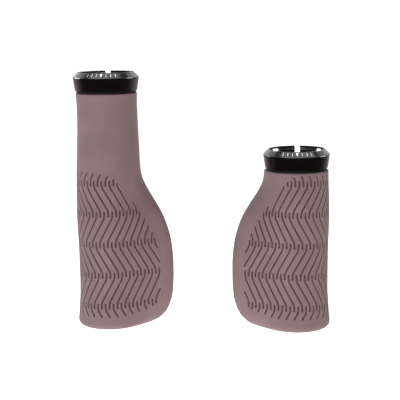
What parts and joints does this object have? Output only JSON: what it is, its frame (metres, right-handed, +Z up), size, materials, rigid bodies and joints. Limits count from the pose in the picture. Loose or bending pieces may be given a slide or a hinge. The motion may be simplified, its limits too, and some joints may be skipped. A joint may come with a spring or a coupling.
{
  "type": "handlebar grips",
  "caption": "Pair of ergonomic lock-on handlebar grips, long and short, with palm wings, herringbone grooves and clamp rings.",
  "frame": {"origin": "centre of the pair's box in X and Y, on the plane that the two grips stand on", "axes": "+Z up along both bar axes, from the outer ends towards the clamp rings; +X from the long grip to the short one; -Y the way the palm faces look"},
  "size_m": [0.1296, 0.0486, 0.13],
  "materials": {
    "rubber": "matte moulded rubber",
    "core_plastic": "glass-filled nylon, fine texture",
    "cap_plastic": "satin moulded plastic",
    "anodised_aluminium": "black anodised, glossy, with white scale marks",
    "bolt_steel": "satin stainless steel"
  },
  "bodies": {
    "long_grip": {"long_sleeve": "rubber", "long_core": "core_plastic", "long_end_cap": "cap_plastic"},
    "long_ring": {"long_clamp_ring": "anodised_aluminium"},
    "long_washer": {"long_bolt_washer": "bolt_steel"},
    "long_bolt": {"long_clamp_bolt": "bolt_steel"},
    "short_grip": {"short_sleeve": "rubber", "short_core": "core_plastic", "short_end_cap": "cap_plastic"},
    "short_ring": {"short_clamp_ring": "anodised_aluminium"},
    "short_washer": {"short_bolt_washer": "bolt_steel"},
    "short_bolt": {"short_clamp_bolt": "bolt_steel"}
  },
  "joints": [
    {"name": "long_ring_turn", "type": "hinge", "parent": "long_grip", "child": "long_ring", "pos_m": [-0.04764, 0.00297, 0.125], "axis": [0, 0, 1], "range_deg": [-27, 27]},
    {"name": "long_bolt_travel", "type": "slide", "parent": "long_ring", "child": "long_washer", "axis": [1, 0, 0], "range_m": [0, 0.006]},
    {"name": "long_bolt_spin", "type": "hinge", "parent": "long_washer", "child": "long_bolt", "pos_m": [-0.04764, 0.01987, 0.12469], "axis": [1, 0, 0], "range_deg": [0, 4321]},
    {"name": "short_grip_lift", "type": "slide", "parent": "long_grip", "child": "short_grip", "axis": [0, 0, 1], "range_m": [0, 0.1]},
    {"name": "short_ring_turn", "type": "hinge", "parent": "short_grip", "child": "short_ring", "pos_m": [0.04764, -0.00713, 0.086], "axis": [0, 0, 1], "range_deg": [-27, 27]},
    {"name": "short_bolt_travel", "type": "slide", "parent": "short_ring", "child": "short_washer", "axis": [-0.9936, 0.1132, 0], "range_m": [0, 0.006]},
    {"name": "short_bolt_spin", "type": "hinge", "parent": "short_washer", "child": "short_bolt", "pos_m": [0.04955, 0.00966, 0.08569], "axis": [-0.9936, 0.1132, 0], "range_deg": [0, 4321]}
  ],
  "couplings": [
    {"joint": "long_bolt_spin", "follows": "long_bolt_travel", "rad_per_m": 12566},
    {"joint": "short_bolt_spin", "follows": "short_bolt_travel", "rad_per_m": 12566}
  ]
}
